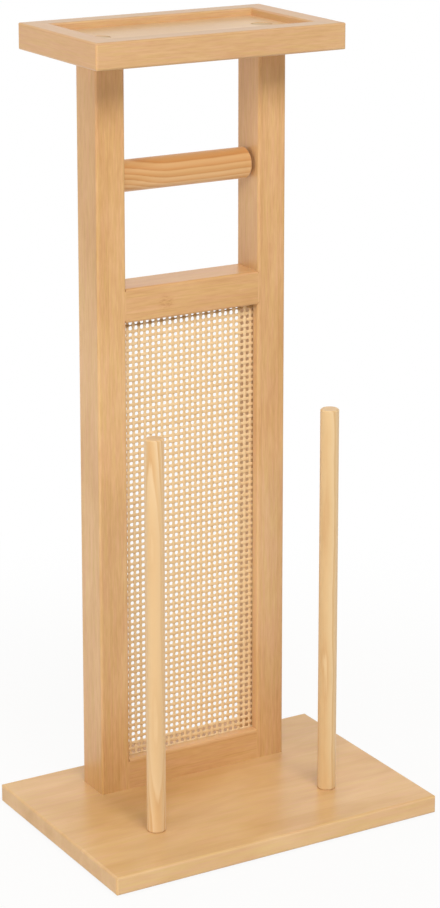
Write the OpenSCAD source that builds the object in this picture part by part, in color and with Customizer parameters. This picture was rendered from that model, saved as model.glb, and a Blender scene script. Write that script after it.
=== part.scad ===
// Free-standing toilet paper stand: base board, two posts, tray, roll bar, cane panel
// and two spindles for spare rolls. Millimetres, +Z up, +X to the right seen from the front,
// origin on the floor under the middle of the whole stand.

/* [Base board] */
// Width of the base board
base_w = 372; // [330:1:460]
// Depth of the base board
base_d = 252; // [230:1:320]
// Thickness of the base board
base_t = 19; // [16:0.5:24]
// Radius of the eased edges on every board
edge_r = 2.5; // [0.5:0.1:3]

/* [Foot pads] */
// Diameter of a foot pad
pad_d = 22; // [14:1:30]
// Thickness of a foot pad
pad_t = 2; // [1:0.5:5]
// Distance from the base's edges to the middle of a foot pad
pad_inset = 24; // [18:1:34]

/* [Posts and rails] */
// Height of the posts
post_h = 761; // [720:1:860]
// Width of a post, seen from the front
post_w = 32; // [28:0.5:42]
// Depth of a post, from front to back
post_d = 42; // [38:0.5:54]
// Clear width between the posts
opening_w = 153; // [135:1:180]
// Distance from the base's back edge to the back of the posts
post_back_margin = 36; // [20:1:60]
// Height of the middle rail
middle_rail_h = 35; // [30:0.5:50]
// Height of the bottom rail
bottom_rail_h = 32; // [30:0.5:50]
// Diameter of the dowels that join rails and posts
dowel_d = 8; // [6:0.5:8.5]
// Length of such a dowel
dowel_l = 24; // [16:1:26]
// Distance between the two dowels at each end of a rail
dowel_spacing = 18; // [14:0.5:22]

/* [Cane panel] */
// Height of the cane that shows between the rails
mesh_h = 463; // [400:1:500]
// Thickness of the woven cane
mesh_t = 1.6; // [1:0.1:2.4]
// Distance from the front of the posts to the front of the cane
mesh_setback = 10; // [6:0.5:14]
// Depth of the groove that holds the cane's edges
groove_depth = 6; // [4:0.5:7]
// Clearance between the cane and each side of its groove
groove_play = 0.2; // [0.1:0.05:0.5]
// Gaps across the cane net
net_cols = 10; // [6:1:10]
// Gaps up the cane net
net_rows = 30; // [18:1:30]
// Width of a strand of the net
net_strand = 6.8; // [4:0.1:8]

/* [Tray] */
// Width of the tray
tray_w = 280; // [270:1:340]
// Depth of the tray
tray_d = 166; // [150:1:200]
// Height of the tray
tray_h = 27; // [24:0.5:36]
// Width of the tray's rim
rim_w = 24; // [14:0.5:24]
// Depth of the tray below its rim
tray_recess = 8; // [5:0.5:9]
// Diameter of the recess for a bolt cap
cap_hole_d = 22; // [18:0.5:24]
// Thickness of a bolt cap
cap_t = 3; // [2:0.5:4]
// Depth of a bolt cap below the tray floor
cap_sink = 0.4; // [0.2:0.1:1.5]
// Clearance round a bolt cap
cap_play = 0.3; // [0.1:0.05:0.5]

/* [Roll bar] */
// Diameter of the roll bar
bar_d = 32; // [24:0.5:36]
// Distance from the tray down to the middle of the roll bar
bar_drop = 121; // [90:1:140]
// Gap at the sprung right end of the bar
bar_gap = 4; // [3.5:0.1:6]
// Gap at the left end, where the bar rests against the post
bar_seat = 0.3; // [0.1:0.05:0.5]
// Size of the bevel round the bar's ends
bar_bevel = 1.5; // [0.5:0.1:3]
// Diameter of the pins at the bar's ends
pin_d = 8; // [6:0.5:9]
// Clearance round a pin in its socket and bush
pin_play = 0.1; // [0.02:0.01:0.1]
// Length of the fixed pin inside the bar
end_pin_grip = 20; // [12:1:30]
// How far the sprung pin reaches into the right post
plunger_reach = 8; // [6:0.5:12]
// Diameter of the bore for the spring
spring_bore_d = 12.5; // [12:0.5:16]
// Depth of the bore for the spring
spring_bore_l = 46; // [42:1:60]
// Length of the bush that keeps the sprung pin in
bush_l = 10; // [6:0.5:12]
// Thickness of the sprung pin's head
head_t = 3; // [2:0.5:4]
// Gap between the sprung pin's head and the bush
head_gap = 1.5; // [1:0.1:3]
// Diameter of the spring's wire
wire_d = 0.9; // [0.6:0.1:1.2]
// Coils in the spring
spring_turns = 10; // [6:1:14]

/* [Spindles] */
// Diameter of a spindle
spindle_d = 19; // [16:0.5:25]
// Height of a spindle above the base
spindle_h = 406; // [300:1:460]
// Distance between the two spindles
spindle_spacing = 201; // [160:1:240]
// Distance from the base's front edge to the spindles
spindle_setback = 75; // [60:1:100]
// Size of the bevel round a spindle's ends
spindle_bevel = 1.2; // [0.5:0.1:3]

/* [Fasteners] */
// Diameter of every bolt
bolt_d = 6; // [5:0.5:6]
// Length of a bolt into a post foot or a spindle, head included
bolt_l = 29; // [27:0.5:30]
// Diameter of a bolt head
bolt_head_d = 12; // [10:0.5:12.5]
// Height of a bolt head
bolt_head_h = 3.3; // [2.5:0.1:3.5]
// Width across the flats of the key socket in a bolt head
key_w = 4; // [3:0.5:5]
// Clearance round a bolt's shank in wood
bolt_play = 0.3; // [0.2:0.05:0.6]
// Outside diameter of a threaded insert
insert_d = 10; // [9:0.5:11]
// Length of a threaded insert
insert_l = 12; // [9:0.5:13]
// Distance between the two bolts in a post foot
post_bolt_spacing = 22; // [18:0.5:24]

/* [Hidden] */
$fn = 64;
// Overshoot of a cutting body past the face it opens
cut = 1;
// Clearance of a glued or threaded piece in its hole
fit = 0.05;
// Gap that a travelling piece keeps from its stop, and a tip from the end of its hole
stop_gap = 0.3;

// Places from front to back, first measured from the base's front edge
post_mid_from_front = base_d - post_back_margin - post_d / 2;
front_reach = min(0, post_mid_from_front - tray_d / 2);
back_reach = max(base_d, post_mid_from_front + tray_d / 2);
base_front = -(front_reach + back_reach) / 2;
base_mid = base_front + base_d / 2;
post_mid = base_front + post_mid_from_front;
post_front = post_mid - post_d / 2;
mesh_front = post_front + mesh_setback;
spindle_y = base_front + spindle_setback;

// Places from side to side
post_inner = opening_w / 2;
post_x = post_inner + post_w / 2;
spindle_x = spindle_spacing / 2;

// Heights
base_top = pad_t + base_t;
bottom_rail_top = base_top + bottom_rail_h;
middle_rail_bottom = bottom_rail_top + mesh_h;
middle_rail_top = middle_rail_bottom + middle_rail_h;
tray_bottom = base_top + post_h;
tray_top = tray_bottom + tray_h;
tray_floor_top = tray_top - tray_recess;
tray_floor_t = tray_h - tray_recess;
bar_z = tray_bottom - bar_drop;
bottom_dowel_z = base_top + (insert_l + bottom_rail_h - groove_depth) / 2;
middle_dowel_z = middle_rail_bottom + (groove_depth + middle_rail_h) / 2;

// Cane panel
mesh_edge = groove_depth - stop_gap;
net_pitch_x = opening_w / net_cols;
net_pitch_z = mesh_h / net_rows;

// Roll bar: its ends, the travel that frees its left pin, and what sits in its right end
bar_left = -post_inner + bar_seat;
bar_right = post_inner - bar_gap;
bar_travel = bar_gap - stop_gap;
end_pin_reach = bar_seat + bar_travel - 2 * stop_gap;
pin_r = pin_d / 2;
socket_r = pin_r + pin_play;
socket_l = plunger_reach + stop_gap;
end_socket_l = end_pin_reach + cut;
bush_x = bar_right - bush_l;
head_x = bush_x - head_gap - head_t;
head_r = spring_bore_d / 2 - stop_gap;
bore_end_x = bar_right - spring_bore_l;
spring_r = spring_bore_d / 2 - 2 * stop_gap - wire_d / 2;
spring_l = head_x - bore_end_x;
spring_pitch = (spring_l - wire_d - 2 * fit) / spring_turns;

// Bolts
bolt_r = bolt_d / 2;
bolt_hole_r = bolt_r + bolt_play;
insert_hole_l = insert_l + stop_gap;
tray_bolt_seat = tray_floor_top - cap_sink - cap_t - fit - bolt_head_h;
tray_bolt_shank = tray_bolt_seat - tray_bottom + insert_l;
cap_hole_l = cap_sink + cap_t;

bamboo = [0.85, 0.68, 0.47];
bamboo_pale = [0.88, 0.73, 0.54];
pine = [0.90, 0.76, 0.56];
cane = [0.92, 0.80, 0.62];
steel = [0.75, 0.76, 0.78];
rubber = [0.22, 0.20, 0.19];

// Shapes used by several pieces

// Rectangle with round corners, centred on the origin
module rounded_rect(w, d, r) {
    square([w - 2 * r, d], center = true);
    square([w, d - 2 * r], center = true);
    for (x = [-1, 1], y = [-1, 1])
        translate([x * (w / 2 - r), y * (d / 2 - r)]) circle(r);
}

// Puts what was drawn along Z along X, the profile's x becoming y and its y becoming z
module along_x() {
    rotate([90, 0, 90]) children();
}

// Board with every edge eased, centred in plan, standing on z = 0
module eased_board(w, d, h, r) {
    intersection() {
        linear_extrude(h) rounded_rect(w, d, r);
        translate([-w / 2, 0, h / 2]) along_x() linear_extrude(w) rounded_rect(d, h, r);
        translate([0, d / 2, h / 2]) rotate([90, 0, 0]) linear_extrude(d) rounded_rect(w, h, r);
    }
}

// Rail between the posts, with its long edges eased. One that stands on the base is square below.
module rail(z, h, stands = false) {
    translate([-post_inner, post_mid, z + h / 2]) along_x() linear_extrude(opening_w) {
        rounded_rect(post_d, h, edge_r);
        if (stands) translate([0, (edge_r - h) / 2]) square([post_d, edge_r], center = true);
    }
}

// Groove for one edge of the cane, from corner to corner of its sheet
module mesh_groove() {
    translate([-post_inner - groove_depth, mesh_front - groove_play, bottom_rail_top - groove_depth])
        cube([opening_w + 2 * groove_depth, mesh_t + 2 * groove_play, mesh_h + 2 * groove_depth]);
}

// Places of the dowels: both ends of both rails
module dowel_places() {
    for (side = [-1, 1], z = [bottom_dowel_z, middle_dowel_z], y = [-1, 1])
        translate([side * post_inner, post_mid + y * dowel_spacing / 2, z]) rotate([0, 90, 0]) children();
}

module post_bolt_places() {
    for (side = [-1, 1], y = [-1, 1])
        translate([side * post_x, post_mid + y * post_bolt_spacing / 2, pad_t]) children();
}

module post_top_places() {
    for (side = [-1, 1]) translate([side * post_x, post_mid, tray_bottom]) children();
}

module spindle_places() {
    for (side = [-1, 1]) translate([side * spindle_x, spindle_y, pad_t]) children();
}

// Countersunk bolt standing on its head, and the hole that takes it in a board of thickness t
module countersunk_bolt() {
    difference() {
        union() {
            cylinder(h = bolt_head_h, r1 = bolt_head_d / 2, r2 = bolt_r);
            cylinder(h = bolt_l, r = bolt_r);
        }
        translate([0, 0, -cut]) cylinder(h = cut + bolt_head_h * 0.6, d = key_w / cos(30), $fn = 6);
    }
}

module countersunk_hole(t) {
    translate([0, 0, -cut]) cylinder(h = t + 2 * cut, r = bolt_hole_r);
    cylinder(h = bolt_head_h, r1 = bolt_head_d / 2 + bolt_play, r2 = bolt_hole_r);
}

// Threaded insert, and its hole, going up from z = 0
module insert_nut() {
    difference() {
        cylinder(h = insert_l, d = insert_d);
        translate([0, 0, -cut]) cylinder(h = insert_l + 2 * cut, r = bolt_r + fit);
    }
}

module insert_hole() {
    translate([0, 0, -cut]) cylinder(h = insert_hole_l + cut, d = insert_d + 2 * fit);
}

// Base

module base_board() {
    color(bamboo) difference() {
        translate([0, base_mid, pad_t]) eased_board(base_w, base_d, base_t, edge_r);
        post_bolt_places() countersunk_hole(base_t);
        spindle_places() countersunk_hole(base_t);
    }
}

module foot_pads() {
    color(rubber)
        for (x = [-1, 1], y = [-1, 1])
            translate([x * (base_w / 2 - pad_inset), base_mid + y * (base_d / 2 - pad_inset), 0])
                cylinder(h = pad_t, d = pad_d);
}

// Posts and rails

// Square inner edges of a post between two heights, where a rail meets it
module square_edges(side, z_low, z_high) {
    translate([side * (post_inner + edge_r / 2), post_mid, z_low])
        linear_extrude(z_high - z_low) square([edge_r, post_d], center = true);
}

// Post with the holes that both posts share. Its edges are eased, but not beside the rails,
// which lie flush with it.
module post(side) {
    difference() {
        union() {
            translate([side * post_x, post_mid, base_top])
                linear_extrude(post_h) rounded_rect(post_w, post_d, edge_r);
            square_edges(side, base_top, bottom_rail_top - edge_r);
            square_edges(side, middle_rail_bottom + edge_r, middle_rail_top - edge_r);
        }
        mesh_groove();
        dowel_places() cylinder(h = dowel_l + 2 * stop_gap, d = dowel_d + 2 * fit, center = true);
        post_bolt_places() translate([0, 0, base_t]) insert_hole();
        post_top_places() rotate([180, 0, 0]) insert_hole();
    }
}

// Blind socket for a pin of the roll bar, from the opening out into a post
module bar_socket(side, depth) {
    translate([side * (post_inner - cut), post_mid, bar_z])
        rotate([0, side * 90, 0]) cylinder(h = depth + cut, r = socket_r);
}

module post_left() {
    color(bamboo) difference() {
        post(-1);
        bar_socket(-1, end_socket_l);
    }
}

module post_right() {
    color(bamboo) difference() {
        post(1);
        bar_socket(1, socket_l);
    }
}

module drilled_rail(z, h, stands = false) {
    difference() {
        rail(z, h, stands);
        mesh_groove();
        dowel_places() cylinder(h = dowel_l + 2 * stop_gap, d = dowel_d + 2 * fit, center = true);
    }
}

module middle_rail() {
    color(bamboo) drilled_rail(middle_rail_bottom, middle_rail_h);
}

module bottom_rail() {
    color(bamboo) drilled_rail(base_top, bottom_rail_h, true);
}

module rail_dowels() {
    color(pine) dowel_places() cylinder(h = dowel_l, d = dowel_d, center = true);
}

// Cane panel: a flat net with plain edges, which sit in the groove
module cane_mesh() {
    hole_x = net_pitch_x - net_strand;
    hole_z = net_pitch_z - net_strand;
    color(cane) translate([0, mesh_front + mesh_t, 0]) rotate([90, 0, 0]) linear_extrude(mesh_t)
        difference() {
            translate([-post_inner - mesh_edge, bottom_rail_top - mesh_edge])
                square([opening_w + 2 * mesh_edge, mesh_h + 2 * mesh_edge]);
            for (i = [0:net_cols - 1], j = [0:net_rows - 1])
                translate([-post_inner + i * net_pitch_x + net_strand / 2,
                        bottom_rail_top + j * net_pitch_z + net_strand / 2])
                    square([hole_x, hole_z]);
        }
}

// Tray

module tray_floor() {
    color(bamboo_pale) difference() {
        translate([-tray_w / 2 + rim_w, post_mid - tray_d / 2 + rim_w, tray_bottom])
            cube([tray_w - 2 * rim_w, tray_d - 2 * rim_w, tray_floor_t]);
        post_top_places() {
            translate([0, 0, -cut]) cylinder(h = tray_floor_t + 2 * cut, r = bolt_hole_r);
            translate([0, 0, tray_bolt_seat - tray_bottom])
                cylinder(h = tray_floor_t, r = bolt_head_d / 2 + bolt_play);
            translate([0, 0, tray_floor_t - cap_hole_l]) cylinder(h = cap_hole_l + cut, d = cap_hole_d);
        }
    }
}

// Cross-section of the rim: x runs inwards from the outer face, y up, the corner at the floor square
module rim_profile() {
    translate([edge_r, 0]) square([rim_w - 2 * edge_r, tray_h]);
    translate([0, edge_r]) square([rim_w, tray_h - 2 * edge_r]);
    translate([rim_w - edge_r, 0]) square(edge_r);
    for (p = [[edge_r, edge_r], [edge_r, tray_h - edge_r], [rim_w - edge_r, tray_h - edge_r]])
        translate(p) circle(edge_r);
}

// One side of the rim, mitred at both ends: the side faces -Y before turn, long is its
// length and across the tray's size the other way
module rim_side(turn, long, across) {
    color(bamboo_pale) translate([0, post_mid, tray_bottom]) rotate([0, 0, turn]) intersection() {
        translate([-long / 2, -across / 2, 0]) along_x() linear_extrude(long) rim_profile();
        linear_extrude(tray_h) polygon([[-long / 2, -across / 2], [long / 2, -across / 2],
            [long / 2 - rim_w, -across / 2 + rim_w], [-long / 2 + rim_w, -across / 2 + rim_w]]);
        linear_extrude(tray_h) rounded_rect(long, across, edge_r);
    }
}

module tray_rim_front() { rim_side(0, tray_w, tray_d); }
module tray_rim_right() { rim_side(90, tray_d, tray_w); }
module tray_rim_back() { rim_side(180, tray_w, tray_d); }
module tray_rim_left() { rim_side(270, tray_d, tray_w); }

module tray_bolts() {
    color(steel) post_top_places() difference() {
        translate([0, 0, tray_bolt_seat - tray_bottom]) {
            cylinder(h = bolt_head_h, d = bolt_head_d);
            translate([0, 0, -tray_bolt_shank]) cylinder(h = tray_bolt_shank + cut, r = bolt_r);
        }
        translate([0, 0, tray_bolt_seat - tray_bottom + bolt_head_h * 0.4])
            cylinder(h = bolt_head_h, d = key_w / cos(30), $fn = 6);
    }
}

module tray_bolt_caps() {
    color(bamboo) post_top_places()
        translate([0, 0, tray_floor_t - cap_hole_l]) cylinder(h = cap_t, d = cap_hole_d - 2 * cap_play);
}

module post_top_nuts() {
    color(steel) post_top_places() rotate([180, 0, 0]) insert_nut();
}

// Bolts and inserts at the base

module post_bolts() {
    color(steel) post_bolt_places() countersunk_bolt();
}

module post_foot_nuts() {
    color(steel) post_bolt_places() translate([0, 0, base_t]) insert_nut();
}

module spindle_bolts() {
    color(steel) spindle_places() countersunk_bolt();
}

module spindle_nuts() {
    color(steel) spindle_places() translate([0, 0, base_t]) insert_nut();
}

// Spindles

module spindle(side) {
    r = spindle_d / 2;
    color(pine) difference() {
        translate([side * spindle_x, spindle_y, base_top]) rotate_extrude() polygon([[0, 0],
            [r - spindle_bevel, 0], [r, spindle_bevel], [r, spindle_h - spindle_bevel],
            [r - spindle_bevel, spindle_h], [0, spindle_h]]);
        spindle_places() translate([0, 0, base_t]) insert_hole();
    }
}

module spindle_left() { spindle(-1); }
module spindle_right() { spindle(1); }

// Roll bar. Its pieces are drawn along X on the bar's axis.

module on_bar_axis(x) {
    translate([x, post_mid, bar_z]) rotate([0, 90, 0]) children();
}

module roll_bar() {
    length = bar_right - bar_left;
    color(pine) difference() {
        on_bar_axis(bar_left) rotate_extrude() polygon([[0, 0], [bar_d / 2 - bar_bevel, 0],
            [bar_d / 2, bar_bevel], [bar_d / 2, length - bar_bevel],
            [bar_d / 2 - bar_bevel, length], [0, length]]);
        on_bar_axis(bar_left - cut) cylinder(h = end_pin_grip + cut, r = pin_r + fit);
        on_bar_axis(bore_end_x) cylinder(h = spring_bore_l + cut, d = spring_bore_d);
    }
}

module bar_end_pin() {
    color(steel) on_bar_axis(bar_left - end_pin_reach)
        cylinder(h = end_pin_reach + end_pin_grip - fit, r = pin_r);
}

module plunger() {
    tip_x = post_inner + plunger_reach;
    color(steel) {
        on_bar_axis(head_x) cylinder(h = head_t, r = head_r);
        on_bar_axis(head_x + head_t) cylinder(h = tip_x - head_x - head_t, r = pin_r);
    }
}

module bar_bush() {
    color(steel) on_bar_axis(bush_x) difference() {
        cylinder(h = bush_l, d = spring_bore_d - 2 * fit);
        translate([0, 0, -cut]) cylinder(h = bush_l + 2 * cut, r = socket_r);
    }
}

// Spring between the end of its bore and the sprung pin's head: one round wire, swept along
// a helix with wire_sides points to a ring and rings_per_turn rings to a turn
wire_sides = 6;
rings_per_turn = 12;
spring_rings = spring_turns * rings_per_turn;

function helix_point(i, r, rise) =
    let (a = 360 * i / rings_per_turn)
    [r * cos(a), r * sin(a), fit + wire_d / 2 + spring_pitch * i / rings_per_turn + rise];

function ring_points(i) = [for (k = [0:wire_sides - 1])
    let (b = 360 * k / wire_sides)
    helix_point(i, spring_r + wire_d / 2 * cos(b), wire_d / 2 * sin(b))];

module bar_spring() {
    points = [for (i = [0:spring_rings]) each ring_points(i)];
    side_faces = [for (i = [0:spring_rings - 1], k = [0:wire_sides - 1])
        let (a = i * wire_sides + k, b = i * wire_sides + (k + 1) % wire_sides)
        each [[a, a + wire_sides, b], [b, a + wire_sides, b + wire_sides]]];
    last = spring_rings * wire_sides;
    end_faces = [for (k = [1:wire_sides - 2]) each [[0, k, k + 1], [last, last + k + 1, last + k]]];
    echo(str("least gap between coils of the spring: ", spring_pitch - wire_d));
    color(steel) on_bar_axis(bore_end_x) polyhedron(points, concat(side_faces, end_faces));
}

base_board();
foot_pads();
post_left();
post_right();
middle_rail();
bottom_rail();
rail_dowels();
cane_mesh();
tray_floor();
tray_rim_front();
tray_rim_back();
tray_rim_left();
tray_rim_right();
tray_bolts();
tray_bolt_caps();
post_top_nuts();
post_bolts();
post_foot_nuts();
spindle_left();
spindle_right();
spindle_bolts();
spindle_nuts();
roll_bar();
bar_end_pin();
plunger();
bar_spring();
bar_bush();
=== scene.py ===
"""Toilet paper stand of laminated bamboo and pine, with a woven cane panel.

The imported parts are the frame. This script gives every part its finish, and builds the woven
cane strand by strand. Metres, +Z up, +X to the right seen from the front.
"""
import math

import bpy
from mathutils import Euler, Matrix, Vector


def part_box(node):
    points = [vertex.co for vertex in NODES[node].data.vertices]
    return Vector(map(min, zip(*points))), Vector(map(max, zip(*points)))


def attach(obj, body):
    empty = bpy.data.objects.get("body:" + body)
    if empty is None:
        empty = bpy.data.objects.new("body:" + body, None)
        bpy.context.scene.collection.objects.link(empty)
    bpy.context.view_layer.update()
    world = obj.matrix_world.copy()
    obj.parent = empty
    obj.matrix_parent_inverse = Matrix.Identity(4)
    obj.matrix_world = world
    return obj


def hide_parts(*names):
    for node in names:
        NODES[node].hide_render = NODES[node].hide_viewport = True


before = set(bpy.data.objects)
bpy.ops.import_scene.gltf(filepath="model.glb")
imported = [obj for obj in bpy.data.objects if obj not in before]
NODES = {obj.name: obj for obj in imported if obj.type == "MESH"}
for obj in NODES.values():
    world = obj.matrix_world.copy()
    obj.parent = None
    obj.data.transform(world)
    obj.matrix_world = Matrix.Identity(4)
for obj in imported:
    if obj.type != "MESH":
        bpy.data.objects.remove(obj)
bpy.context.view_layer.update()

MM = 0.001
TURN = 2 * math.pi

# Which way the grain lies: turns that bring the grain to X, the pattern's own length
ALONG_X = (0, 0, 0)
ALONG_Y = (0, 0, -math.pi / 2)
ALONG_Z = (0, math.pi / 2, 0)

# Sockets of a Mix node that mixes colours
MIX_FIRST = 6
MIX_SECOND = 7
MIX_RESULT = 2


# Helpers

def linear(colour):
    """Linear RGBA of an sRGB hex colour such as "#D5A970"."""
    parts = [int(colour[i:i + 2], 16) / 255 for i in (1, 3, 5)]
    return [c / 12.92 if c <= 0.04045 else ((c + 0.055) / 1.055) ** 2.4 for c in parts] + [1.0]


def add(tree, kind, inputs=(), stops=(), **settings):
    """Adds one node, with its settings and links.

    inputs are given by name or number, or in the node's own order. Each is a value, or the node
    or output that feeds it, where a node feeds its first output. stops are a colour ramp's
    (position, sRGB hex colour)."""
    node = tree.nodes.new(kind)
    for name, value in settings.items():
        setattr(node, name, value)
    if stops:
        elements = node.color_ramp.elements
        while len(elements) < len(stops):
            elements.new(1.0)
        for element, (position, colour) in zip(elements, stops):
            element.position = position
            element.color = linear(colour)
    for key, value in (inputs.items() if isinstance(inputs, dict) else enumerate(inputs)):
        if isinstance(value, bpy.types.Node):
            value = value.outputs[0]
        if isinstance(value, bpy.types.NodeSocket):
            tree.links.new(value, node.inputs[key])
        else:
            node.inputs[key].default_value = value
    return node


def new_material(name):
    """A material with an empty node tree."""
    material = bpy.data.materials.new(name)
    material.use_nodes = True
    material.node_tree.nodes.clear()
    return material, material.node_tree


def set_surface(tree, inputs):
    """Gives a material its shader, with these inputs."""
    shader = add(tree, "ShaderNodeBsdfPrincipled", inputs)
    add(tree, "ShaderNodeOutputMaterial", {"Surface": shader})


def grain_point(tree, lay, shift=(0, 0, 0), middle=(0, 0, 0)):
    """The object's own coordinates in metres from middle, turned so that the grain is along X,
    and then moved by shift."""
    place = add(tree, "ShaderNodeTexCoord").outputs["Object"]
    centred = add(tree, "ShaderNodeVectorMath", (place, middle), operation="SUBTRACT")
    return add(tree, "ShaderNodeMapping", {
        "Vector": centred, "Location": shift, "Rotation": lay})


def stretched(tree, point, along, across):
    """A point in units of these sizes in millimetres, along and across the grain."""
    scale = (1 / (along * MM), 1 / (across * MM), 1 / (across * MM))
    return add(tree, "ShaderNodeVectorMath", (point, scale), operation="MULTIPLY")


def stretched_noise(tree, point, along, across, detail=2.0, distortion=0.0):
    """Noise with features of about these sizes in millimetres, along and across the grain."""
    return add(tree, "ShaderNodeTexNoise", {
        "Vector": stretched(tree, point, along, across), "Scale": 1.0, "Detail": detail,
        "Roughness": 0.55, "Distortion": distortion}).outputs["Fac"]


def soft_patch(tree, lay, place, along, across):
    """1 at a place on the object, falling to 0 at the edge of an oval of this length and width
    in millimetres, measured along and across the grain."""
    away = stretched(tree, grain_point(tree, lay, middle=place), along, across)
    away = add(tree, "ShaderNodeVectorMath", (away,), operation="LENGTH").outputs["Value"]
    return add(tree, "ShaderNodeMapRange", (away, 0.1, 0.5, 1.0, 0.0),
               interpolation_type="SMOOTHSTEP")


# Materials

# Bamboo's markings: length and width in millimetres
BAMBOO_DASHES = (16, 1.4)
BAMBOO_FIBRES = (60, 1.2)
BAMBOO_STREAKS = (110, 5)
BAMBOO_CLOUDS = (110, 35)
BAMBOO_HUES = (45, 2.5)
KNUCKLE_SPECKS = (4, 1.6)
KNUCKLE_SIZE = (24, 22)

# Their shares in the tone of the wood, and that of each slat's own tone
DASH_SHARE = 0.36
FIBRE_SHARE = 0.16
STREAK_SHARE = 0.22
CLOUD_SHARE = 0.40
SLAT_SHARE = 0.07

# A slat's length in metres, more than any board's, so that no slat ends in sight
SLAT_LENGTH = 10.0

# The tones at which bamboo has its four colours, darkest to palest
BAMBOO_TONES = (0.15, 0.42, 0.6, 0.85)

# A glue line between slats: how far it reaches to each side, and how dark it is
GLUE_REACH = 0.7 * MM
GLUE_SHARE = 0.12


def laminated_bamboo(name, lay, slat, colours, shift=(0, 0, 0), fine=1.0, broad=1.0, seams=1.0,
                     painted_light_face=None, knuckle=None, patches=()):
    """Laminated bamboo, planed and sanded, under a clear satin lacquer.

    It gives the eye slats of slightly different honey tones, from pinkish to straw, fine short
    dashes along the grain and, here and there, the soft mark of a bamboo knuckle.
    slat is the width and thickness of one slat in millimetres. colours go from darkest to
    palest. shift moves the pattern, in metres, so that each board has its own. fine, broad and
    seams are the strength of the dashes, of the slower changes and of the glue lines.
    painted_light_face
    is an axis and a place on it: a face of the board there that is painted paler, by the third
    number, as painted light. knuckle is the place of a knuckle. patches are (place, length,
    width, rise): stretches that are painted paler, or darker where the rise is negative; most of
    them are painted light or shade."""
    material, tree = new_material(name)
    point = grain_point(tree, lay, shift)

    # One random colour for each slat
    slat_size = (SLAT_LENGTH, slat[0] * MM, slat[1] * MM)
    corner = add(tree, "ShaderNodeVectorMath", (point, slat_size), operation="SNAP")
    chance = add(tree, "ShaderNodeTexWhiteNoise", {"Vector": corner}, noise_dimensions="3D")
    moved = add(tree, "ShaderNodeVectorMath", (point, chance.outputs["Color"]), operation="ADD")

    # Dashes are fibre bundles, fibres are long and fine, and streaks and clouds change slowly
    dashes = stretched_noise(tree, moved, *BAMBOO_DASHES)
    fibres = stretched_noise(tree, moved, *BAMBOO_FIBRES, detail=3.0)
    streaks = stretched_noise(tree, moved, *BAMBOO_STREAKS)
    clouds = stretched_noise(tree, point, *BAMBOO_CLOUDS, distortion=0.6)
    tone = 0.5
    for share, marking in ((DASH_SHARE * fine, dashes), (FIBRE_SHARE * fine, fibres),
                           (STREAK_SHARE * fine, streaks), (CLOUD_SHARE * broad, clouds),
                           (SLAT_SHARE * broad, chance.outputs["Value"])):
        change = add(tree, "ShaderNodeMath", (marking, 0.5), operation="SUBTRACT")
        tone = add(tree, "ShaderNodeMath", (change, share, tone), operation="MULTIPLY_ADD")

    # Painted light: one face of the board is made paler, to look more lit than the lamps light it
    if painted_light_face is not None:
        axis, place, rise = painted_light_face
        whole = add(tree, "ShaderNodeTexCoord").outputs["Object"]
        whole = add(tree, "ShaderNodeSeparateXYZ", (whole,)).outputs[axis]
        on_face = add(tree, "ShaderNodeMath", (whole, place, 0.5 * MM), operation="COMPARE")
        tone = add(tree, "ShaderNodeMath", (on_face, rise, tone), operation="MULTIPLY_ADD")
    # Paler and darker stretches, most of them painted light or shade
    for place, length, width, rise in patches:
        patch = soft_patch(tree, lay, place, length, width)
        tone = add(tree, "ShaderNodeMath", (patch, rise, tone), operation="MULTIPLY_ADD")

    # A glue line lies wherever two slats' broad faces meet
    depth = add(tree, "ShaderNodeSeparateXYZ", (point,)).outputs["Z"]
    seam = add(tree, "ShaderNodeMath", (depth, slat[1] * MM / 2), operation="PINGPONG")
    seam = add(tree, "ShaderNodeMapRange", (seam, 0.0, GLUE_REACH, -GLUE_SHARE, 0.0),
               interpolation_type="SMOOTHSTEP")
    tone = add(tree, "ShaderNodeMath", (seam, seams, tone), operation="MULTIPLY_ADD")

    # Knuckle: a faint patch with small dark specks in it
    if knuckle is not None:
        specks = stretched_noise(tree, point, *KNUCKLE_SPECKS)
        specks = add(tree, "ShaderNodeMapRange", (specks, 0.45, 0.62, -0.05, -0.3))
        patch = soft_patch(tree, lay, knuckle, *KNUCKLE_SIZE)
        tone = add(tree, "ShaderNodeMath", (patch, specks, tone), operation="MULTIPLY_ADD")
    wood = add(tree, "ShaderNodeValToRGB", {"Fac": tone}, list(zip(BAMBOO_TONES, colours)))

    # A hue that wanders between pinkish and straw from streak to streak
    hue = stretched_noise(tree, moved, *BAMBOO_HUES)
    tint = add(tree, "ShaderNodeValToRGB", {"Fac": hue}, [(0.35, "#FFF8FF"), (0.65, "#FEFEF3")])
    wood = add(tree, "ShaderNodeMix", {"Factor": 1.0, MIX_FIRST: wood, MIX_SECOND: tint},
               data_type="RGBA", blend_type="MULTIPLY").outputs[MIX_RESULT]

    # Lacquer over the fibres
    roughness = add(tree, "ShaderNodeMapRange", {"Value": fibres, "To Min": 0.26, "To Max": 0.38})
    bump = add(tree, "ShaderNodeBump", {
        "Height": fibres, "Strength": 0.25, "Distance": 0.04 * MM})
    set_surface(tree, {"Base Color": wood, "Roughness": roughness, "IOR": 1.5, "Normal": bump})
    return material


# Pine's bends and fibres: length and width in millimetres
PINE_BENDS = (90, 25)
PINE_FIBRES = (50, 0.8)

# How far pine's rings wander from side to side in all, how ragged the fibres make them, as a
# share of a year, and how soon heart's painted shade fades out past the dowel's axis
RING_WANDER = 6 * MM
RING_RAGGEDNESS = 0.3
PAINTED_SHADE_FADE = 10 * MM


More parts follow.
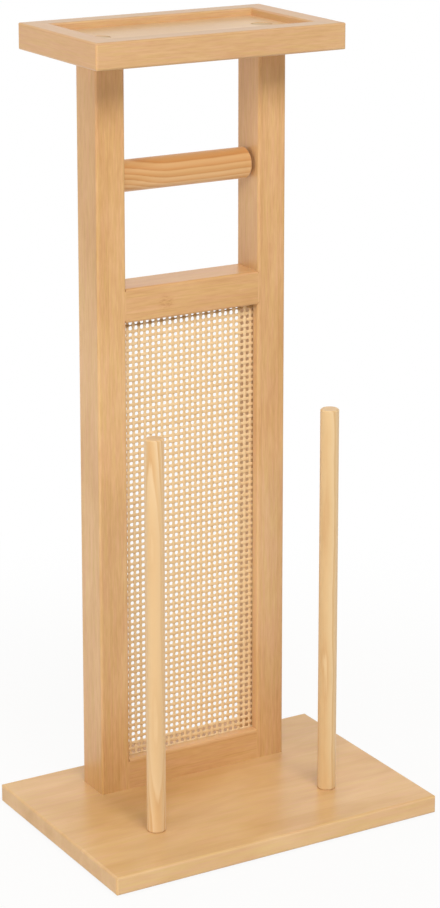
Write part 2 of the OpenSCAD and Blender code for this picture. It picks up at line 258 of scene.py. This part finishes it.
def turned_pine(name, lay, middle, pith, ring, colours, lean=(0, 0), runs=(), quiet=1.0,
                wave=1.0, heart="#FFFFFF"):
    """Pine, turned round and sanded, under a clear satin lacquer.

    It gives the eye pale early wood between darker year rings, which show as soft straight
    streaks, and as nested U shapes where the rings run out through the surface.
    middle is a point on the dowel's axis. pith is how far the dowel lies there from the tree's
    heart and ring the spacing of the rings, in millimetres. colours go from palest to darkest.
    lean is how much the place of the tree's heart changes over a metre of dowel. runs are
    (start, end, rise) in millimetres along the dowel: stretches in which the rings run out
    through the surface. Elsewhere they show only as strongly as quiet says. wave is how much
    they wander. heart is a colour of painted shade: it darkens the wood between the tree's heart
    and the dowel's axis, and fades out past it, so that this side of the dowel looks less lit."""
    palest, plain, late_wood, darkest = colours
    material, tree = new_material(name)
    point = grain_point(tree, lay, middle=middle)
    bend = stretched_noise(tree, point, *PINE_BENDS)
    fibres = stretched_noise(tree, point, *PINE_FIBRES, detail=3.0)

    # How far each point of the dowel is from the tree's heart
    along, *sideways = add(tree, "ShaderNodeSeparateXYZ", (point,)).outputs
    squares = []
    for place, change, distance in zip(sideways, lean, pith):
        shifted = add(tree, "ShaderNodeMath", (along, change * MM, distance * MM),
                      operation="MULTIPLY_ADD")
        place = add(tree, "ShaderNodeMath", (place, shifted), operation="ADD")
        squares.append(add(tree, "ShaderNodeMath", (place, place), operation="MULTIPLY"))
    depth = add(tree, "ShaderNodeMath", squares, operation="ADD")
    depth = add(tree, "ShaderNodeMath", (depth,), operation="SQRT")
    axis_depth = math.hypot(*pith) * MM
    # How much of heart's painted shade each point gets: all of it nearer the tree's heart than the
    # axis, fading out past the axis
    painted_shade_share = add(tree, "ShaderNodeMapRange",
                      (depth, axis_depth, axis_depth + PAINTED_SHADE_FADE, 1.0, 0.0),
                      interpolation_type="SMOOTHSTEP")

    # The rings wander, and run out of the surface where runs say
    bend = add(tree, "ShaderNodeMath", (bend, 0.5), operation="SUBTRACT")
    depth = add(tree, "ShaderNodeMath", (bend, wave * RING_WANDER, depth), operation="MULTIPLY_ADD")
    strength = quiet
    for start, end, rise in runs:
        run = add(tree, "ShaderNodeMapRange", {
            "Value": along, "From Min": start * MM, "From Max": end * MM},
            interpolation_type="SMOOTHSTEP")
        depth = add(tree, "ShaderNodeMath", (run, rise * MM, depth), operation="MULTIPLY_ADD")
        strength = add(tree, "ShaderNodeMath", (run, strength), operation="MAXIMUM")

    # Rings grow narrower outwards, and have the given spacing at the dowel's axis
    square = add(tree, "ShaderNodeMath", (depth, depth), operation="MULTIPLY")
    years = add(tree, "ShaderNodeMath", (square, 2 * axis_depth * ring * MM), operation="DIVIDE")
    year = add(tree, "ShaderNodeMath", (years,), operation="FRACT")
    ragged = add(tree, "ShaderNodeMath", (fibres, 0.5), operation="SUBTRACT")
    season = add(tree, "ShaderNodeMath", (ragged, RING_RAGGEDNESS, year), operation="MULTIPLY_ADD")
    rings = add(tree, "ShaderNodeValToRGB", {"Fac": season}, [
        (0.0, plain), (0.1, palest), (0.45, plain), (0.75, late_wood), (0.9, darkest),
        (1.0, plain)])
    wood = add(tree, "ShaderNodeMix", {
        "Factor": strength, MIX_FIRST: linear(plain), MIX_SECOND: rings},
        data_type="RGBA").outputs[MIX_RESULT]
    # Painted shade: the side towards the tree's heart is darkened, on the bar its upper half
    wood = add(tree, "ShaderNodeMix", {
        "Factor": painted_shade_share, MIX_FIRST: wood, MIX_SECOND: linear(heart)},
        data_type="RGBA", blend_type="MULTIPLY").outputs[MIX_RESULT]

    # Fibre ends that turning and sanding leave raised catch light at the dowel's edges
    roughness = add(tree, "ShaderNodeMapRange", {"Value": fibres, "To Min": 0.4, "To Max": 0.52})
    bump = add(tree, "ShaderNodeBump", {
        "Height": fibres, "Strength": 0.2, "Distance": 0.03 * MM})
    set_surface(tree, {"Base Color": wood, "Roughness": roughness, "IOR": 1.5, "Normal": bump,
                       "Sheen Weight": 0.2, "Sheen Roughness": 0.4})
    return material


# Cane's fibres, in millimetres, their share in its tone, and its colours
CANE_FIBRES = (25, 0.5)
CANE_FIBRE_SHARE = 0.7
STRAW_COLOURS = [(0.0, "#E1C092"), (0.5, "#E5C699"), (1.0, "#E9CCA2")]
# The topmost weft is darker than the rest
DARK_STRAND_COLOUR = "#B8925E"


def split_cane(name, lay):
    """Split cane, sun-dried and woven damp.

    It gives the eye pale straw strands with a faint sheen and fine fibres along each strand;
    every strand has its own tone, and the topmost weft is narrower and brown."""
    material, tree = new_material(name)
    fibres = stretched_noise(tree, grain_point(tree, lay), *CANE_FIBRES)
    tone = add(tree, "ShaderNodeAttribute", attribute_name="tone").outputs["Fac"]
    dark_strand = add(tree, "ShaderNodeAttribute", attribute_name="dark_strand").outputs["Fac"]
    change = add(tree, "ShaderNodeMath", (fibres, 0.5), operation="SUBTRACT")
    tone = add(tree, "ShaderNodeMath", (change, CANE_FIBRE_SHARE, tone), operation="MULTIPLY_ADD")
    straw = add(tree, "ShaderNodeValToRGB", {"Fac": tone}, STRAW_COLOURS)
    cane = add(tree, "ShaderNodeMix", {
        "Factor": dark_strand, MIX_FIRST: straw, MIX_SECOND: linear(DARK_STRAND_COLOUR)},
        data_type="RGBA").outputs[MIX_RESULT]
    bump = add(tree, "ShaderNodeBump", {
        "Height": fibres, "Strength": 0.3, "Distance": 0.03 * MM})
    set_surface(tree, {"Base Color": cane, "Roughness": 0.5, "IOR": 1.5, "Normal": bump})
    return material


# The size of zinc's uneven patches, and of the grit in rubber, in millimetres
ZINC_PATCH = 3
RUBBER_GRIT = 0.6


def zinc_plate(name):
    """Steel with bright zinc plate, off a bulk line.

    It gives the eye a cool pale grey with soft highlights and slightly uneven gloss."""
    material, tree = new_material(name)
    patches = stretched_noise(tree, grain_point(tree, ALONG_X), ZINC_PATCH, ZINC_PATCH, 3.0)
    zinc = add(tree, "ShaderNodeValToRGB", {"Fac": patches}, [(0.3, "#B9BDC2"), (0.7, "#CDD0D3")])
    roughness = add(tree, "ShaderNodeMapRange", {"Value": patches, "To Min": 0.28, "To Max": 0.45})
    set_surface(tree, {"Base Color": zinc, "Roughness": roughness, "Metallic": 1.0})
    return material


def pad_rubber(name):
    """Soft rubber, punched from sheet: dark, matt, with a fine grain."""
    material, tree = new_material(name)
    grit = stretched_noise(tree, grain_point(tree, ALONG_X), RUBBER_GRIT, RUBBER_GRIT)
    rubber = add(tree, "ShaderNodeValToRGB", {"Fac": grit}, [(0.3, "#2A2725"), (0.7, "#37332F")])
    bump = add(tree, "ShaderNodeBump", {
        "Height": grit, "Strength": 0.4, "Distance": 0.05 * MM})
    set_surface(tree, {"Base Color": rubber, "Roughness": 0.8, "Normal": bump})
    return material


def dress(material, *nodes):
    """Gives CAD nodes their material."""
    for node in nodes:
        mesh = NODES[node].data
        mesh.materials.clear()
        mesh.materials.append(material)


# Camera, at the photograph's viewing angle. It looks down only slightly, and the rest of the
# way down is lens shift, as a product photographer keeps the posts upright.
PHOTO_HEIGHT_PX = 908
FOCAL_PX = 2679.0
CAMERA_SHIFT = 0.25
CAMERA_PLACE = (-1.3044, -2.2316, 1.1782)
DEGREES_DOWN = 12.35
DEGREES_ASIDE = 30.51
camera_data = bpy.data.cameras.new("camera")
camera_data.sensor_width = 36.0
camera_data.lens = FOCAL_PX * camera_data.sensor_width / PHOTO_HEIGHT_PX
camera_data.shift_y = -CAMERA_SHIFT
camera = bpy.data.objects.new("camera", camera_data)
camera.location = CAMERA_PLACE
camera.rotation_euler = Euler((math.radians(90 - DEGREES_DOWN), 0, -math.radians(DEGREES_ASIDE)))
bpy.context.scene.collection.objects.link(camera)
bpy.context.scene.camera = camera
bpy.context.scene.view_settings.view_transform = "Standard"


# Light and ground

def area_light(name, place, aim_height, width, height, watts, glossy=False):
    """A softbox that faces the stand's axis at a height. Only a glossy one shows in
    reflections."""
    data = bpy.data.lights.new(name, "AREA")
    data.shape = "RECTANGLE"
    data.size = width
    data.size_y = height
    data.energy = watts
    lamp = bpy.data.objects.new(name, data)
    lamp.visible_glossy = glossy
    lamp.location = place
    aim = Vector((0, 0, aim_height)) - Vector(place)
    lamp.rotation_euler = aim.to_track_quat("-Z", "Y").to_euler()
    bpy.context.scene.collection.objects.link(lamp)


def seen_directly(tree):
    """1 where the camera or a reflection looks, and 0 for the light that falls on things."""
    ray = add(tree, "ShaderNodeLightPath").outputs
    return add(tree, "ShaderNodeMath", (ray["Is Camera Ray"], ray["Is Glossy Ray"]),
               operation="MAXIMUM")


def studio_world():
    """White studio: full white where the camera or a reflection sees it. As a light it is
    dimmer, and slightly warm."""
    world = bpy.data.worlds.new("studio")
    bpy.context.scene.world = world
    world.use_nodes = True
    tree = world.node_tree
    tree.nodes.clear()
    ambient = add(tree, "ShaderNodeBackground", {"Color": linear("#FFF3DD"), "Strength": 0.35})
    backdrop = add(tree, "ShaderNodeBackground", {"Color": linear("#FFFFFF"), "Strength": 1.0})
    mixed = add(tree, "ShaderNodeMixShader", (seen_directly(tree), ambient, backdrop))
    add(tree, "ShaderNodeOutputWorld", {"Surface": mixed})


# Half the floor's side. How much of its own shading is seen near the stand, and from where to
# where that fades out, measured from the stand's middle.
FLOOR_HALF = 6.0
SHADING_SEEN = 0.08
FADE_FROM = 0.3
FADE_TO = 0.9


def white_floor():
    """Pale studio floor, which keeps a light shadow under the stand."""
    mesh = bpy.data.meshes.new("floor")
    corners = [(x * FLOOR_HALF, y * FLOOR_HALF, 0) for x, y in ((-1, -1), (1, -1), (1, 1), (-1, 1))]
    mesh.from_pydata(corners, [], [(0, 1, 2, 3)])
    floor = bpy.data.objects.new("floor", mesh)
    bpy.context.scene.collection.objects.link(floor)
    material, tree = new_material("white_floor")
    matt = add(tree, "ShaderNodeBsdfDiffuse", {"Color": linear("#E2DFD9")})
    bright = add(tree, "ShaderNodeEmission", {"Color": linear("#FFFFFF"), "Strength": 1.0})
    place = add(tree, "ShaderNodeTexCoord").outputs["Object"]
    reach = add(tree, "ShaderNodeVectorMath", (place,), operation="LENGTH").outputs["Value"]
    share = add(tree, "ShaderNodeMapRange", (reach, FADE_FROM, FADE_TO, 1 - SHADING_SEEN, 1.0),
                interpolation_type="SMOOTHSTEP")
    share = add(tree, "ShaderNodeMath", (seen_directly(tree), share), operation="MULTIPLY")
    mixed = add(tree, "ShaderNodeMixShader", (share, matt, bright))
    add(tree, "ShaderNodeOutputMaterial", {"Surface": mixed})
    mesh.materials.append(material)


studio_world()
white_floor()
area_light("key", (-0.65, -2.62, 3.0), aim_height=0.5, width=2.5, height=1.3, watts=102,
           glossy=True)
for side_name, side_place, side_watts in (("left", (-2.85, -0.55, 1.0), 30),
                                          ("back", (0.4, 3.0, 1.0), 42),
                                          ("right", (2.85, 0.4, 1.0), 12)):
    area_light(side_name, side_place, aim_height=0.45, width=1.8, height=1.8, watts=side_watts)


# Woven cane panel. The first hole is measured from the left post and the bottom rail.

CANE_PITCH_X = 6.5 * MM
CANE_PITCH_Z = 6.47 * MM
CANE_WIDTH = 3.5 * MM
CANE_THICKNESS = 0.55 * MM
CANE_SWING = 0.25 * MM
CANE_DRIFT = 0.45 * MM
FIRST_HOLE_X = 3.6 * MM
FIRST_HOLE_Z = 3.0 * MM
CORNER_SAG = 2.0 * MM
SAG_REACH = 90 * MM
STEPS_PER_CROSSING = 4
POINTS_ACROSS = 5

# Shares of a strand's width or thickness
CROSSING_SWELL = 0.27
DARK_STRAND_NARROWING = 0.4
EDGE_THINNING = 0.5

# How fast the drift changes: per metre along a strand, and from one strand to the next
DRIFT_ALONG = 14.0
DRIFT_ASIDE = 3.7


def weave_tree():
    """Strands side by side, each of them passing over and under the strands that cross it.

    In the tree a strand runs along X and the strands lie side by side along Y."""
    tree = bpy.data.node_groups.new("weave_strands", "GeometryNodeTree")
    face = tree.interface
    face.new_socket("Geometry", in_out="OUTPUT", socket_type="NodeSocketGeometry")
    sizes = ("Length", "Strand Width", "Strand Thickness", "First Strand", "Strand Pitch",
             "First Crossing", "Crossing Pitch", "Swing", "Drift", "Sag", "Sag Reach",
             "Panel Bottom", "Panel Height", "Panel Left", "Panel Width", "Dark Strand")
    for kind, names in (("NodeSocketFloat", sizes), ("NodeSocketInt", ("Strand Count", "Steps")),
                        ("NodeSocketRotation", ("Turn",)), ("NodeSocketVector", ("Middle",)),
                        ("NodeSocketMaterial", ("Material",))):
        for name in names:
            face.new_socket(name, in_out="INPUT", socket_type=kind)
    given = add(tree, "NodeGroupInput").outputs

    # A row of strips, each marked with its number
    size = add(tree, "ShaderNodeCombineXYZ", (
        given["Length"], given["Strand Width"], given["Strand Thickness"]))
    strip = add(tree, "GeometryNodeMeshCube", {
        "Size": size, "Vertices X": given["Steps"], "Vertices Y": POINTS_ACROSS, "Vertices Z": 2})
    start = add(tree, "ShaderNodeCombineXYZ", {"Y": given["First Strand"]})
    step = add(tree, "ShaderNodeCombineXYZ", {"Y": given["Strand Pitch"]})
    row = add(tree, "GeometryNodeMeshLine", {
        "Count": given["Strand Count"], "Start Location": start, "Offset": step})
    marked = add(tree, "GeometryNodeStoreNamedAttribute", {
        "Geometry": row, "Name": "strand", "Value": add(tree, "GeometryNodeInputIndex")},
        data_type="FLOAT", domain="POINT")
    laid = add(tree, "GeometryNodeInstanceOnPoints", {"Points": marked, "Instance": strip})
    solid = add(tree, "GeometryNodeRealizeInstances", {"Geometry": laid})

    # Where each point is: which strand, how far off its middle, how many crossings along
    strand = add(tree, "GeometryNodeInputNamedAttribute", {"Name": "strand"}, data_type="FLOAT")
    here = add(tree, "GeometryNodeInputPosition")
    along, side, height = add(tree, "ShaderNodeSeparateXYZ", (here,)).outputs
    is_dark_strand = add(tree, "ShaderNodeMath", (strand, given["Dark Strand"], 0.5),
                  operation="COMPARE")
    centre = add(tree, "ShaderNodeMath", (strand, given["Strand Pitch"], given["First Strand"]),
                 operation="MULTIPLY_ADD")
    off_centre = add(tree, "ShaderNodeMath", (side, centre), operation="SUBTRACT")
    from_crossing = add(tree, "ShaderNodeMath", (along, given["First Crossing"]),
                        operation="SUBTRACT")
    crossings = add(tree, "ShaderNodeMath", (from_crossing, given["Crossing Pitch"]),
                    operation="DIVIDE")

    # Over one crossing and under the next, and the other way round in the next strand
    beat = add(tree, "ShaderNodeMath", (crossings, strand), operation="ADD")
    beat = add(tree, "ShaderNodeMath", (beat, math.pi), operation="MULTIPLY")
    over = add(tree, "ShaderNodeMath", (beat,), operation="COSINE")
    rise = add(tree, "ShaderNodeMath", (over, given["Swing"]), operation="MULTIPLY")

    # A strand is thinner towards its edges
    half_width = add(tree, "ShaderNodeMath", (given["Strand Width"], 0.5), operation="MULTIPLY")
    share = add(tree, "ShaderNodeMath", (off_centre, half_width), operation="DIVIDE")
    share = add(tree, "ShaderNodeMath", (share, share), operation="MULTIPLY")
    thin = add(tree, "ShaderNodeMath", (share, -EDGE_THINNING, 1.0), operation="MULTIPLY_ADD")
    height = add(tree, "ShaderNodeMath", (height, thin), operation="MULTIPLY")
    height = add(tree, "ShaderNodeMath", (height, rise), operation="ADD")

    # It is wider where strands cross, narrower if it is the dark strand, and slowly drifts
    swell = add(tree, "ShaderNodeMath", (crossings, TURN), operation="MULTIPLY")
    swell = add(tree, "ShaderNodeMath", (swell,), operation="COSINE")
    swell = add(tree, "ShaderNodeMath", (swell, CROSSING_SWELL), operation="MULTIPLY")
    wider = add(tree, "ShaderNodeMath", (is_dark_strand, -DARK_STRAND_NARROWING, swell),
                operation="MULTIPLY_ADD")
    place = add(tree, "ShaderNodeCombineXYZ", (
        add(tree, "ShaderNodeMath", (along, DRIFT_ALONG), operation="MULTIPLY"),
        add(tree, "ShaderNodeMath", (strand, DRIFT_ASIDE), operation="MULTIPLY")))
    wander = add(tree, "ShaderNodeTexNoise", {"Vector": place, "Scale": 1.0, "Detail": 1.0})
    wander = add(tree, "ShaderNodeMath", (wander.outputs["Fac"], 0.5), operation="SUBTRACT")
    drift = add(tree, "ShaderNodeMath", (wander, given["Drift"]), operation="MULTIPLY")
    moved = add(tree, "ShaderNodeMath", (off_centre, wider, drift), operation="MULTIPLY_ADD")
    side = add(tree, "ShaderNodeMath", (side, moved), operation="ADD")
    woven = add(tree, "GeometryNodeSetPosition", {
        "Geometry": solid, "Position": add(tree, "ShaderNodeCombineXYZ", (along, side, height))})
    stood = add(tree, "GeometryNodeTransform", {
        "Geometry": woven, "Rotation": given["Turn"], "Translation": given["Middle"]})

    # The panel sags a little towards its top left corner
    there = add(tree, "ShaderNodeSeparateXYZ", (add(tree, "GeometryNodeInputPosition"),)).outputs
    share = add(tree, "ShaderNodeMath", (there["X"], given["Panel Left"]), operation="SUBTRACT")
    share = add(tree, "ShaderNodeMath", (share, given["Panel Width"]), operation="DIVIDE")
    share = add(tree, "ShaderNodeClamp", {"Value": share})
    share = add(tree, "ShaderNodeMath", (share, 1.0), operation="SUBTRACT")
    top = add(tree, "ShaderNodeMath", (given["Panel Bottom"], given["Panel Height"]),
              operation="ADD")
    sag_start = add(tree, "ShaderNodeMath", (top, given["Sag Reach"]), operation="SUBTRACT")
    near_top = add(tree, "ShaderNodeMapRange", (there["Z"], sag_start, top),
                   interpolation_type="SMOOTHSTEP")
    lowered = add(tree, "ShaderNodeMath", (near_top, share), operation="MULTIPLY")
    lowered = add(tree, "ShaderNodeMath", (lowered, given["Sag"]), operation="MULTIPLY")
    offset = add(tree, "ShaderNodeCombineXYZ", {"Z": lowered})
    sagged = add(tree, "GeometryNodeSetPosition", {"Geometry": stood, "Offset": offset})

    # Each strand's own tone, and which strand is the dark one
    number = add(tree, "ShaderNodeMath", (strand,), operation="ROUND")
    chance = add(tree, "FunctionNodeRandomValue", {"ID": number, "Seed": 4}, data_type="FLOAT")
    toned = add(tree, "GeometryNodeStoreNamedAttribute", {
        "Geometry": sagged, "Name": "tone", "Value": chance.outputs[1]},
        data_type="FLOAT", domain="POINT")
    barked = add(tree, "GeometryNodeStoreNamedAttribute", {
        "Geometry": toned, "Name": "dark_strand", "Value": is_dark_strand}, data_type="FLOAT", domain="POINT")
    smooth = add(tree, "GeometryNodeSetShadeSmooth", {"Geometry": barked})
    finish = add(tree, "GeometryNodeSetMaterial", {
        "Geometry": smooth, "Material": given["Material"]})
    add(tree, "NodeGroupOutput", {"Geometry": finish})
    return tree


def run_tree(name, tree, values):
    """The plain mesh object that a geometry tree makes with these inputs."""
    carrier = bpy.data.objects.new(name + "_carrier", bpy.data.meshes.new(name + "_carrier"))
    bpy.context.scene.collection.objects.link(carrier)
    modifier = carrier.modifiers.new("tree", "NODES")
    modifier.node_group = tree
    for socket in tree.interface.items_tree:
        if socket.in_out == "INPUT":
            modifier[socket.identifier] = values[socket.name]
    graph = bpy.context.evaluated_depsgraph_get()
    mesh = bpy.data.meshes.new_from_object(carrier.evaluated_get(graph), depsgraph=graph)
    mesh.name = name
    bpy.data.objects.remove(carrier)
    piece = bpy.data.objects.new(name, mesh)
    bpy.context.scene.collection.objects.link(piece)
    return piece


def cane_panel():
    """The woven panel: wefts from side to side, warps up and down, edges in the grooves."""
    low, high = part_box("cane_mesh")
    opening_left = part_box("post_left")[1].x
    opening_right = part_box("post_right")[0].x
    panel_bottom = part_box("bottom_rail")[1].z
    panel_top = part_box("middle_rail")[0].z
    middle = (low + high) / 2
    first_warp = opening_left + FIRST_HOLE_X - CANE_PITCH_X / 2
    first_weft = panel_bottom + FIRST_HOLE_Z - CANE_PITCH_Z / 2
    warps = int((opening_right - first_warp) / CANE_PITCH_X) + 1
    wefts = int((panel_top - first_weft) / CANE_PITCH_Z) + 1
    tree = weave_tree()
    shared = {
        "Strand Width": CANE_WIDTH, "Strand Thickness": CANE_THICKNESS, "Swing": CANE_SWING,
        "Drift": CANE_DRIFT, "Sag": CORNER_SAG, "Sag Reach": SAG_REACH,
        "Panel Bottom": panel_bottom, "Panel Height": panel_top - panel_bottom,
        "Panel Left": opening_left, "Panel Width": opening_right - opening_left,
        "Middle": middle}

    # The topmost weft is the dark strand, and no warp is
    weft = run_tree("cane_wefts", tree, {
        **shared, "Length": high.x - low.x, "Strand Count": wefts,
        "Steps": int((high.x - low.x) / CANE_PITCH_X * STEPS_PER_CROSSING),
        "First Strand": first_weft - middle.z, "Strand Pitch": CANE_PITCH_Z,
        "First Crossing": first_warp - middle.x, "Crossing Pitch": CANE_PITCH_X,
        "Dark Strand": float(wefts - 1), "Turn": Euler((math.pi / 2, 0, 0)),
        "Material": split_cane("split_cane_across", ALONG_X)})
    warp = run_tree("cane_warps", tree, {
        **shared, "Length": high.z - low.z, "Strand Count": warps,
        "Steps": int((high.z - low.z) / CANE_PITCH_Z * STEPS_PER_CROSSING),
        "First Strand": first_warp - middle.x, "Strand Pitch": CANE_PITCH_X,
        "First Crossing": first_weft - middle.z, "Crossing Pitch": CANE_PITCH_Z,
        "Dark Strand": -1.0, "Turn": Euler((-math.pi / 2, -math.pi / 2, 0)),
        "Material": split_cane("split_cane_upright", ALONG_Z)})
    for piece in (weft, warp):
        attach(piece, "stand")
    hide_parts("cane_mesh")


cane_panel()


# Boards of bamboo

# Colours from darkest to palest
POST_BAMBOO = ("#BF9159", "#D0A672", "#DAB381", "#E4C295")
DARKER_BAMBOO = ("#B98B52", "#CA9E6A", "#D4AB79", "#DEBA8C")
BASE_BAMBOO = ("#BF955D", "#D0A975", "#DAB685", "#E4C596")
RIM_BAMBOO = ("#B68C58", "#C79F70", "#D1AC7F", "#DBBB92")
SIDE_BAMBOO = ("#BB8B55", "#CCA06E", "#D6AD7D", "#E0BC91")
FLOOR_BAMBOO = ("#C8A06D", "#D6B387", "#DFBE94", "#E9CBA5")
CAP_BAMBOO = ("#B5945F", "#C4A471", "#CBAC7A", "#D3B686")

# Widths and thicknesses of the slats, in millimetres
POST_SLAT = (21, 20)
RAIL_SLAT = (21, 17)
BOARD_SLAT = (21, 19)
RIM_SLAT = (21, 27)

# The middle rail's knuckle: how far left of the stand's middle, and above the rail's underside
KNUCKLE_LEFT = 31 * MM
KNUCKLE_HEIGHT = 16 * MM

# Corners, faces and edges of parts from which the paler and darker places are measured
left_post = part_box("post_left")[0]
right_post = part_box("post_right")[0]
rail_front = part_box("middle_rail")[0]
foot_rail_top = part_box("bottom_rail")[1].z
base_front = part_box("base_board")[0].y
base_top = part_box("base_board")[1].z
back_rim_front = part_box("tray_rim_back")[0].y
right_rim_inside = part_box("tray_rim_right")[0].x
tray_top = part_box("tray_floor")[1].z

# Painted shade: the darker stretch high on the front, up to the tray, deepens the tray's shadow
# there, and the darker one at the foot darkens the post next to the base. The stretch between is
# paler.
dress(laminated_bamboo(
    "bamboo_post_left", ALONG_Z, POST_SLAT, POST_BAMBOO, (0.1, 0.004, 0.004), fine=1.3,
    patches=[((left_post.x, left_post.y, 0.65), 420, 120, -0.14),
             ((left_post.x, left_post.y, 0.44), 200, 120, 0.08),
             ((left_post.x, left_post.y + 20 * MM, 0.02), 200, 120, -0.12)]), "post_left")
# Painted light: the inner face, which looks into the opening, is made paler, and so is a stretch
# low on the front where the right spindle's shadow falls. The stretch above it is darker.
dress(laminated_bamboo(
    "bamboo_post_right", ALONG_Z, POST_SLAT, DARKER_BAMBOO, (0.7, 0.004, 0.001), fine=1.3,
    painted_light_face=("X", right_post.x, 0.14),
    patches=[((right_post.x, right_post.y, 0.25), 330, 160, 0.2),
             ((right_post.x, right_post.y, 0.45), 200, 160, -0.06)]), "post_right")
dress(laminated_bamboo(
    "bamboo_middle_rail", ALONG_X, RAIL_SLAT, DARKER_BAMBOO, (0.3, 0.002, 0.002),
    knuckle=(-KNUCKLE_LEFT, rail_front.y, rail_front.z + KNUCKLE_HEIGHT)), "middle_rail")
# Painted light: the top face, in the shade of the cane panel, is made paler.
dress(laminated_bamboo(
    "bamboo_bottom_rail", ALONG_X, RAIL_SLAT, DARKER_BAMBOO, (0.3, 0.002, 0.002),
    painted_light_face=("Z", foot_rail_top, 0.2)), "bottom_rail")
# Painted light and shade: the front face is made paler, and the darker stretches in front of the
# bottom rail and left of the left post are painted shade where the stand blocks light. The stretch
# at the front middle is paler.
dress(laminated_bamboo(
    "bamboo_base", ALONG_X, BOARD_SLAT, BASE_BAMBOO, (0.9, 0.002, 0.001), fine=0.4, broad=1.5,
    seams=0.0, painted_light_face=("Y", base_front, 0.14),
    patches=[((-0.02, 0.015, base_top), 300, 75, -0.17), ((-0.15, 0.0, base_top), 90, 120, -0.14),
             ((0.0, -0.05, base_top), 200, 60, 0.09)]), "base_board")
# Painted light: the back rim's inner face, inside the tray, is made paler.
dress(laminated_bamboo(
    "bamboo_tray_rim", ALONG_X, RIM_SLAT, RIM_BAMBOO, (0.5, 0.002, 0.003), broad=0.6,
    painted_light_face=("Y", back_rim_front, 0.07)), "tray_rim_front", "tray_rim_back")
# Painted light: the floor is made paler towards the right rim.
dress(laminated_bamboo(
    "bamboo_tray_floor", ALONG_X, BOARD_SLAT, FLOOR_BAMBOO, (1.5, 0.002, 0.003), fine=0.6,
    broad=0.6, seams=0.0, patches=[((0.085, 0.04, tray_top), 160, 120, 0.16)]), "tray_floor")
# Painted light: the right rim's inner face, inside the tray, is made paler.
dress(laminated_bamboo(
    "bamboo_tray_sides", ALONG_Y, RIM_SLAT, SIDE_BAMBOO, (0.2, 0.002, 0.003), fine=0.7,
    broad=0.5, painted_light_face=("X", right_rim_inside, 0.13)), "tray_rim_left", "tray_rim_right")
dress(laminated_bamboo(
    "bamboo_caps", ALONG_X, BOARD_SLAT, CAP_BAMBOO, (0.4, 0.002, 0.003), fine=0.6, broad=0.3,
    seams=0.0), "tray_bolt_caps")


# Dowels of pine

# Colours from palest to darkest
LEFT_PINE = ("#E3C59C", "#DDBB8D", "#D6AE7B", "#CEA06B")
RIGHT_PINE = ("#E3C79D", "#DDBE90", "#D5B07E", "#C99B66")
BAR_PINE = ("#E9C08E", "#E2B47E", "#DCA76D", "#D29A5F")
# Painted shade that darkens the bar's upper half, where the light from above falls
BAR_PAINTED_SHADE = "#E1D8C8"


def middle_of(node):
    """The middle of a node's box."""
    low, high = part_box(node)
    return (low + high) / 2


def foot_of(node):
    """The middle of an upright node's underside."""
    middle = middle_of(node)
    return (middle.x, middle.y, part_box(node)[0].z)


dress(turned_pine(
    "pine_spindle_left", ALONG_Z, foot_of("spindle_left"), (-34.4, 10.5), 3.35, LEFT_PINE,
    lean=(39, 50), runs=[(110, -20, -6.5), (290, 420, -5)], quiet=0.25, wave=0.3),
    "spindle_left")
dress(turned_pine(
    "pine_spindle_right", ALONG_Z, foot_of("spindle_right"), (-16, 20), 4.2, RIGHT_PINE,
    quiet=0.6, wave=0.6), "spindle_right", "rail_dowels")
dress(turned_pine(
    "pine_bar", ALONG_X, tuple(middle_of("roll_bar")), (5.8, -29), 6.5, BAR_PINE,
    runs=[(-20, -80, 8), (25, 72, 1)], wave=0.3, heart=BAR_PAINTED_SHADE), "roll_bar")


# Metal and rubber

dress(zinc_plate("zinc_plated_steel"), "tray_bolts", "post_top_nuts", "post_bolts",
      "post_foot_nuts", "spindle_bolts", "spindle_nuts", "bar_end_pin", "plunger", "bar_spring",
      "bar_bush")
dress(pad_rubber("pad_rubber_sheet"), "foot_pads")
